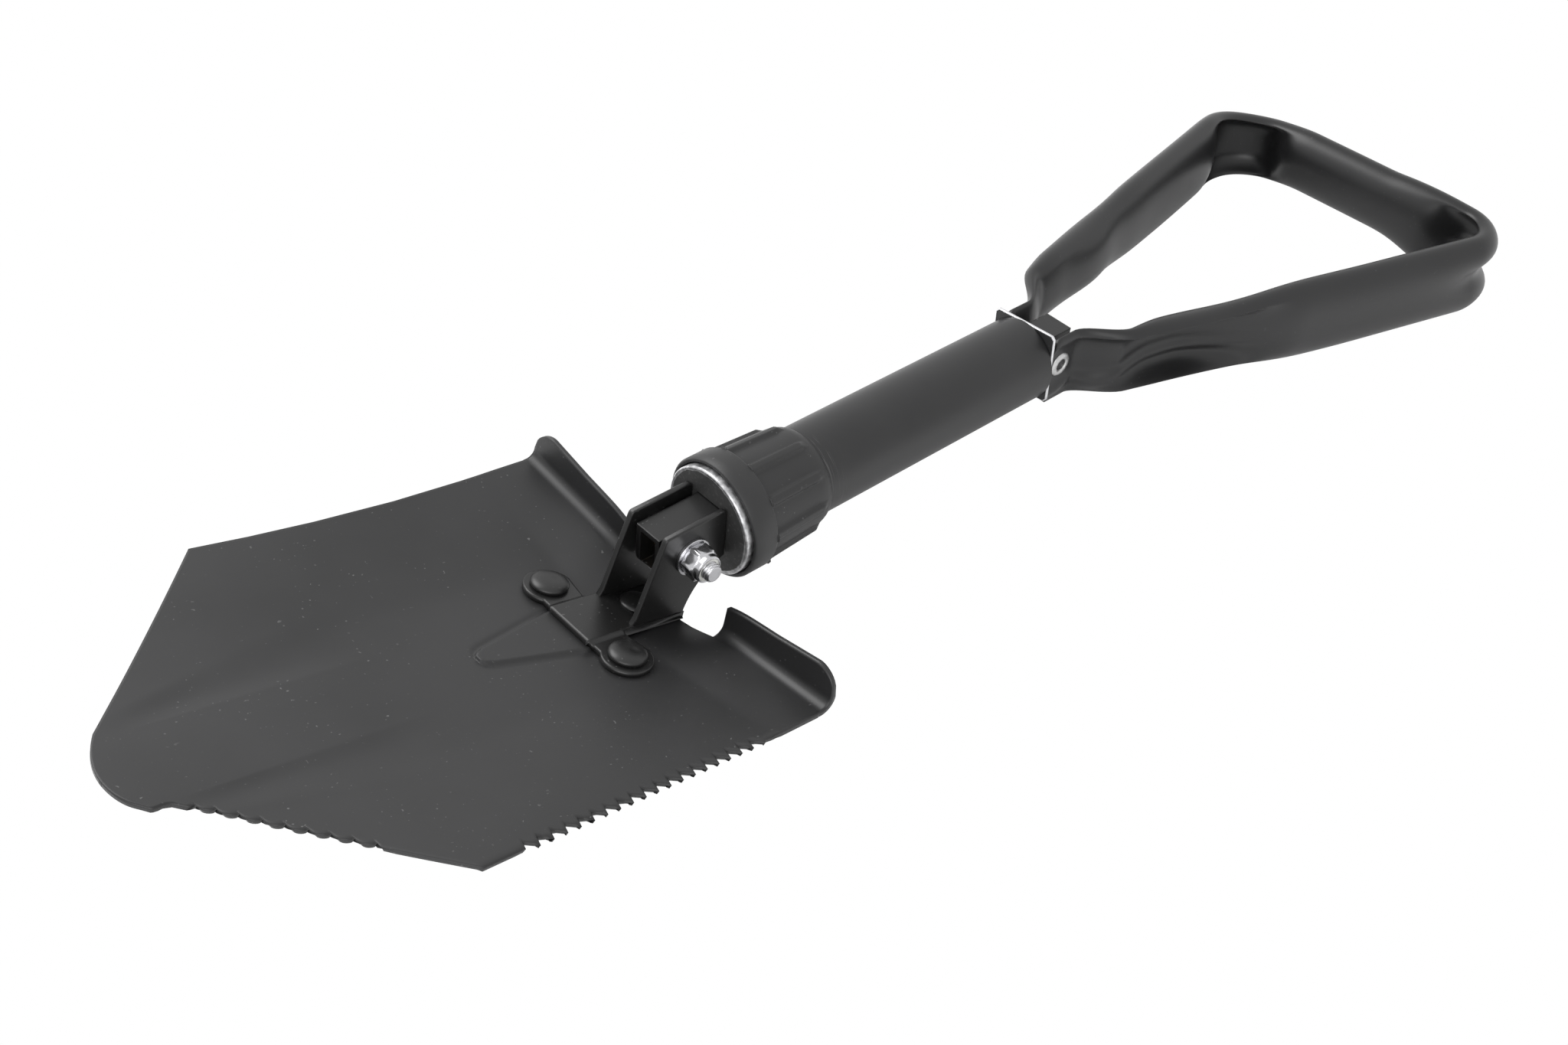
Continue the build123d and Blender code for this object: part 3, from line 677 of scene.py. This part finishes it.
def build_collar():
    """The locking collar: a plain flange in front and ten ribs that fade towards the back."""
    profile = [(4.0, 15.97), (4.0, 18.4), (2.5, 18.4), (2.0, 18.9), (2.15, 19.55), (2.8, 20.0)]
    profile += [(6.0, 20.0), (10.4, 20.0), (11.0, 19.7), (11.3, 19.0), (11.5, 18.3)]
    x = 12.0
    while x <= 33.0:
        profile.append((x, lerp(18.1, 17.1, (x - 11.6) / 21.4)))
        x += 0.6
    profile += [(34.2, 16.95), (35.2, 16.7), (36.2, 16.35), (36.9, 15.95)]
    profile += [(37.4, 15.6), (37.5, 15.4), (35.6, 15.35), (35.0, 15.97)]

    def radius_at(x, r, a):
        if not 11.2 < x < 34.0 or r < 16.5:
            return r
        deg = (a * 180 / pi + RIB_OFFSET) % RIB_ANGLE
        off = min(deg, RIB_ANGLE - deg) * pi / 180 * r
        reach = hypot(off, max(0.0, x - 31.0) * 0.55)
        return r + 1.3 * smooth(2.0, 0.9, reach) * smooth(33.6, 32.0, x)

    verts, faces = lathe(profile, 360, at, radius_at)
    piece("collar_ribbed", verts, faces, COLLAR_COAT, "collar", ["locking_collar"], 40)


build_collar()


def circle(place, along, r, segments):
    angles = [2 * pi * k / segments for k in range(segments)]
    return [place(along, r * sin(a), r * cos(a)) for a in angles]


def thread_mesh(span, root, crest, pitch, segments, place, inner=None):
    """Skin of a bar, or of a sleeve with an inner radius, with a real helical thread."""
    start, end = span
    rings = []
    steps = int((end - start) / pitch * 10)
    if inner is not None:
        rings.append(circle(place, start, inner, segments))
    for i in range(steps + 1):
        along = lerp(start, end, i / steps)
        ring = []
        for k in range(segments):
            a = 2 * pi * k / segments
            phase = (along / pitch - k / segments) % 1.0
            r = lerp(root, crest, smooth(0.0, 0.35, phase) * smooth(1.0, 0.65, phase))
            fade = smooth(start, start + pitch * 0.6, along) * smooth(end, end - pitch * 0.6, along)
            r = lerp(root, r, fade)
            ring.append(place(along, r * sin(a), r * cos(a)))
        rings.append(ring)
    if inner is not None:
        rings.append(circle(place, end, inner, segments))
    return rings_mesh(rings, cap=inner is None, loop=inner is not None)


verts, faces = thread_mesh((TUBE_START, 33.5), 15.3, 15.9, 4.0, 96, at, inner=TUBE_R)
piece("sleeve_thread", verts, faces, BARE, "shaft", ["threaded_sleeve"], 50)

tube_profile = [(TUBE_START, TUBE_INNER_R), (TUBE_START, 14.8), (24.6, TUBE_R), (60, TUBE_R), (100, TUBE_R)]
tube_profile += [(142.1, TUBE_R), (TUBE_END, 14.8), (TUBE_END, TUBE_INNER_R)]
tube_profile += [(100, TUBE_INNER_R), (60, TUBE_INNER_R)]
verts, faces = lathe(tube_profile, 160, at)
piece("tube_skin", verts, faces, TUBE_COAT, "shaft", ["shaft_tube"])

# ------------------------------------------------------------------ hinge hardware
to_near = across_at(HINGE_X)
NUT_FACE = 10.1

verts, faces = thread_mesh((-NUT_FACE, 19.5), 2.55, 3.0, 1.0, 40, to_near)
piece("bolt_thread", verts, faces, ZINC, "blade", ["pivot_bolt"], 50)
head = [(-NUT_FACE, 0.01), (-NUT_FACE, 5.2), (-10.4, 5.5), (-12.2, 5.5)]
head += [(-13.0, 5.1), (-13.6, 4.2), (-13.9, 2.8), (-13.9, 0.01)]
verts, faces = lathe(head[::-1], 48, to_near, loop=False)
piece("bolt_head", verts, faces, ZINC, "blade")


def build_nut():
    """The hexagon lock nut with its rolled collar over the nylon insert."""

    def radius_at(along, r, a):
        if r < 4.9:
            return r
        k = ((a * 180 / pi + 20.0) % 60.0 - 30.0) * pi / 180
        return min(r, 5.0 / cos(k))

    shape = [(0.0, 3.0), (0.0, 4.95), (0.5, 5.77), (4.4, 5.77), (5.0, 5.0), (5.1, 4.7)]
    shape += [(6.6, 4.65), (6.95, 4.3), (7.0, 3.9), (6.4, 3.9), (6.4, 3.0)]
    profile = [(NUT_FACE + along, r) for along, r in shape]
    verts, faces = lathe(profile, 96, to_near, radius_at)
    piece("lock_nut", verts, faces, ZINC, "blade", ["pivot_lock_nut"], 28)


build_nut()


# ------------------------------------------------------------------ D-handle
# The legs run straight along the block to LEG_TOP, bend out to BEND and go on to the corners, which are
# given as (x, distance from the centre line, bend radius).
LEG_START = 144.8
LEG_TOP = 157.0
LEG_Y = 10.8
BEND = (175.0, 23.5)
GRIP_MIDDLE = 347.8
FAR_CORNER = (347.0, 60.8, 20.0)
NEAR_CORNER = (348.6, 69.2, 15.0)
LEG_HALF = 13.3
DENT_LINE = [(150, -9.0), (157, -6.6), (164, -9.0), (172, -7.2), (184, -5.6), (205, -4.6), (230, -2.5)]


def handle_path(vertex_x, vertex_y, bend_r):
    """Centre line of one half of the handle and the middle of its corner."""
    points = []
    for i in range(9):
        points.append((lerp(LEG_START, LEG_TOP, i / 8), LEG_Y))
    for i in range(1, 13):
        t = i / 12
        bend = smooth(0.0, 1.0, t) * 0.75 + 0.25 * t
        points.append((lerp(LEG_TOP, BEND[0], t), lerp(LEG_Y, BEND[1], bend)))
    dx, dy = vertex_x - BEND[0], vertex_y - BEND[1]
    length = hypot(dx, dy)
    ux, uy = dx / length, dy / length
    turn = pi / 2 + atan2(uy, ux)
    cut = bend_r * tan(turn / 2)
    steps = 60
    for i in range(1, steps + 1):
        d = (length - cut) * i / steps
        points.append((BEND[0] + ux * d, BEND[1] + uy * d))
    cx = BEND[0] + ux * (length - cut) + uy * bend_r
    cy = BEND[1] + uy * (length - cut) - ux * bend_r
    a0 = atan2(ux, -uy)
    for i in range(1, 25):
        a = a0 - turn * i / 24
        points.append((cx + bend_r * cos(a), cy + bend_r * sin(a)))
    start_y = points[-1][1]
    for i in range(1, 25):
        points.append((lerp(vertex_x, GRIP_MIDDLE, i / 24), lerp(start_y, 0.0, i / 24)))
    corner = (cx + bend_r * cos(a0 - turn / 2), cy + bend_r * sin(a0 - turn / 2))
    return points, corner


def dents(x, z):
    """Creases left in the channel of a leg where the tube was squashed flat."""
    fold = z - table(DENT_LINE, x)
    away = smooth(262, 225, x)
    out = 1.4 * exp(-((fold / 2.2) ** 2)) * away
    out -= 0.4 * exp(-(((fold + 4.4) / 2.2) ** 2)) * away
    out += 0.5 * exp(-(((fold - 6.0) / 2.6) ** 2)) * smooth(166, 176, x) * smooth(214, 196, x)
    out += 1.2 * exp(-(((z - 2.5) / 4.2) ** 2)) * smooth(192, 214, x) * smooth(256, 232, x)
    return out + 0.9 * smooth(159.5, 156.0, x)


def build_handle():
    """The bent tube: round at the grip, pinched at the corners, squashed to a channel at the legs."""
    far_half, far_corner = handle_path(*FAR_CORNER)
    near_half, near_corner = handle_path(*NEAR_CORNER)
    path = far_half + [(x, -y) for x, y in near_half[-2::-1]]
    count, seg = len(path), 84
    rings = []
    for i, (x, y) in enumerate(path):
        xa, ya = path[max(0, i - 1)]
        xb, yb = path[min(count - 1, i + 1)]
        d = Vector((xb - xa, yb - ya, 0)).normalized()
        out = Vector((-d.y, d.x, 0))
        if 8 > i or i > count - 9:
            out = Vector((0, 1 if y > 0 else -1, 0))
        far = y > 0
        flat = smooth(BEND[0] + 12, LEG_TOP, x)
        corner = far_corner if far else near_corner
        dist = hypot(x - corner[0], abs(y) - corner[1])
        shift = 14.0 if far else 0.0
        ripple = sin((x - 158.0 - shift) / 8.6) * smooth(160, 176, x) * smooth(256, 214, x)
        sway = sin((x - 150.0 - shift) / 15.0) * smooth(168, 190, x) * smooth(262, 225, x)
        a = lerp(7.9, 2.5, flat) - 0.5 * ripple
        b = lerp(13.0, LEG_HALF, flat) + 0.45 * sway
        b += (4.2 * smooth(352, 315, x) if far else 3.7) * smooth(180, 255, x) * smooth(14, 48, abs(y))
        hollow = smooth(246, 196, x)
        pocket = exp(-((dist / 19.0) ** 4))
        pinch = 0.6 if far else 5.6
        waist = pinch * exp(-((dist / 17.0) ** 2)) + 1.0 * exp(-((dist / 42.0) ** 2))
        drop = -1.4 * smooth(188, 162, x) - 3.1 * smooth(172, 215, x) * smooth(20, 52, abs(y))
        ring = []
        for k in range(seg):
            t = 2 * pi * k / seg
            c, s_ = cos(t), sin(t)
            n = a * c
            z = b * s_
            mid = clamp(1 - (abs(z + 0.6) / (b - 2.0)) ** 5)
            soft = exp(-(((z - 1.5) / 5.5) ** 2))
            if c > 0:
                n = lerp(n, -a + 1.8 + dents(x - shift * 0.5, z), hollow * mid)
                n -= waist * soft
            else:
                floor_n = min(a * 0.45, a * abs(c) - waist * soft - 1.4)
                n = lerp(n, floor_n, pocket * clamp(1 - (abs(z) / (b - 1.5)) ** 5))
                n += 0.7 * ripple * mid * (1 - flat) * smooth(250, 215, x)
            p = Vector((x, y, z)) + out * n
            if x < 150.5 and abs(y) < 14 and flat > 0.9:
                upper = lower = LEG_HALF
                if x <= 149.6:
                    upper = 8.5 + sqrt(max(0.0, 4.8**2 - (149.6 - x) ** 2))
                if x <= 147.8:
                    lower = 10.3 + sqrt(max(0.0, 3.0**2 - (147.8 - x) ** 2))
                p.z = clamp(p.z, -lower, upper)
            p.z += drop
            ring.append(at(p.x, p.y, p.z))
        rings.append(ring)
    verts, faces = rings_mesh(rings)
    piece("handle_tube", verts, faces, GRIP_COAT, "handle", ["d_handle"], 50)


build_handle()


# ------------------------------------------------------------------ end plate and handle rivet
PLATE_HALF = 13.2
PLATE_CORNER_R = 1.6
PLATE_TILT = radians(4.1)


def plate_ring(name, stations, mat, nodes):
    """A band of the square plate; stations are (depth behind its face, change of its half width).
    The plate sits a little turned and high; its opening stays on the block."""
    rings = []
    cos_t, sin_t = cos(PLATE_TILT), sin(PLATE_TILT)
    for x, grow in stations:
        ring = []
        for k in range(72):
            a = 2 * pi * (k + 0.5) / 72
            half, corner = PLATE_HALF + grow, max(0.5, PLATE_CORNER_R + grow)
            reach = half / max(abs(cos(a)), abs(sin(a)))
            y, z = reach * sin(a), reach * cos(a)
            inner = half - corner
            if abs(y) > inner and abs(z) > inner:
                t = atan2(abs(z) - inner, abs(y) - inner)
                y = (inner + corner * cos(t)) * (1 if y > 0 else -1)
                z = (inner + corner * sin(t)) * (1 if z > 0 else -1)
            y, z = y * cos_t + z * sin_t, z * cos_t - y * sin_t
            shift = clamp((half - 8) / 4)
            ring.append(at(TUBE_END + x, y - 0.4 * shift, z + 1.4 * shift))
        rings.append(ring)
    verts, faces = rings_mesh(rings, cap=False, loop=True)
    piece(name, verts, faces, mat, "shaft", nodes, 50)


plate_face = [(0.1, -0.35), (1.1, -0.35), (1.1, -4.9), (0.1, -4.9)]
plate_edge = [(0.0, -0.4), (0.2, 0.0), (1.0, 0.0), (1.2, -0.4)]
plate_ring("plate_face", plate_face, COLLAR_COAT, ["end_plate"])
plate_ring("plate_edge", plate_edge, PLATE_ZINC, ())

# Tubular rivet through the handle's legs: half of its outline out to a rolled head, mirrored
rivet_head = [(11.6, 2.2), (11.95, 2.6), (12.0, 3.3), (11.7, 4.1), (11.2, 4.5), (10.5, 4.4), (10.4, 3.2)]
rivet_profile = [(-along, r) for along, r in rivet_head] + [(0.0, 3.2)]
rivet_profile += rivet_head[::-1] + [(0.0, 2.2)]
verts, faces = lathe(rivet_profile, 56, across_at((PIN.x - DISC_FACE) / MM))
piece("handle_rivet", verts, faces, BARE, "handle_mount", ["handle_pin"])

# ------------------------------------------------------------------ finishes of the CAD nodes
LOOKS = {
    "pivot_block": HINGE_COAT,
    "pressure_disc": DISC_FINISH,
    "front_plug": BARE,
    "plug_pin": BARE,
    "pivot_bush": BRONZE,
    "rear_guide": BARE,
    "pivot_washers": ZINC,
    "pivot_spacers": ZINC,
    "nut_insert": NYLON,
    "handle_block": HINGE_COAT,
    "pull_rod": BARE,
    "spring_cup": ZINC,
    "rod_nut": ZINC,
    "handle_spring": SPRING,
    "pin_washers": ZINC,
}
for node, look in LOOKS.items():
    data = frame["nodes"][node].data
    data.materials.clear()
    data.materials.append(look)


# ------------------------------------------------------------------ stage, lights, camera
FLOOR_Z = -0.0004
FLOOR_HALF = 4


def area(name, place, size, height, power):
    """A rectangular soft light aimed at the middle of the shovel."""
    lamp = bpy.data.lights.new(name, "AREA")
    lamp.shape = "RECTANGLE"
    lamp.size = size
    lamp.size_y = height
    lamp.energy = power
    obj = bpy.data.objects.new(name, lamp)
    obj.location = place
    obj.rotation_mode = "QUATERNION"
    obj.rotation_quaternion = (Vector((0, 0, 0.02)) - Vector(place)).to_track_quat("-Z", "Y")
    bpy.context.scene.collection.objects.link(obj)


# A white floor that reads as plain paper to the camera and as a matt surface to the shovel
floor_mesh = bpy.data.meshes.new("studio_floor")
corners = [(a * FLOOR_HALF, b * FLOOR_HALF, FLOOR_Z) for a, b in ((-1, -1), (1, -1), (1, 1), (-1, 1))]
floor_mesh.from_pydata(corners, [], [(0, 1, 2, 3)])
floor = bpy.data.objects.new("studio_floor", floor_mesh)
bpy.context.scene.collection.objects.link(floor)
paper = Shader("studio_paper")
paper.finish((0.9, 0.9, 0.9), 0.9, 0.0, paper.bump(paper.noise(30.0), 0.00001, None))
glow = paper.node("ShaderNodeEmission")
eye = paper.node("ShaderNodeLightPath")
blend = paper.node("ShaderNodeMixShader")
paper.link(eye.outputs["Is Camera Ray"], blend.inputs[0])
paper.link(paper.bsdf.outputs[0], blend.inputs[1])
paper.link(glow.outputs[0], blend.inputs[2])
paper.link(blend.outputs[0], paper.tree.nodes["Material Output"].inputs["Surface"])
floor_mesh.materials.append(paper.mat)

world = bpy.data.worlds.new("studio")
world.use_nodes = True
world.node_tree.nodes["Background"].inputs["Color"].default_value = (1, 1, 1, 1)
world.node_tree.nodes["Background"].inputs["Strength"].default_value = 0.95
bpy.context.scene.world = world
area("key", (-0.25, 0.75, 0.85), 0.9, 0.7, 9.0)
area("fill", (-0.7, -0.5, 0.5), 0.8, 0.5, 3.0)

camera = bpy.data.cameras.new("photo_camera")
camera.sensor_width = 36.0
camera.lens = CAMERA_LENS
camera.clip_start = 0.01
camera.clip_end = 20.0
cam = bpy.data.objects.new("photo_camera", camera)
az, el, roll = radians(CAMERA_AZIMUTH), radians(CAMERA_ELEVATION), radians(CAMERA_ROLL)
back = Vector((sin(az) * cos(el), -cos(az) * cos(el), sin(el)))
right = Vector((0, 0, 1)).cross(back).normalized()
up = back.cross(right)
right, up = right * cos(roll) + up * sin(roll), up * cos(roll) - right * sin(roll)
basis = Matrix((right, up, back)).transposed().to_4x4()
basis.translation = at(*CAMERA_AT)
cam.matrix_world = basis
bpy.context.scene.collection.objects.link(cam)
bpy.context.scene.camera = cam
bpy.context.scene.view_settings.view_transform = "Standard"
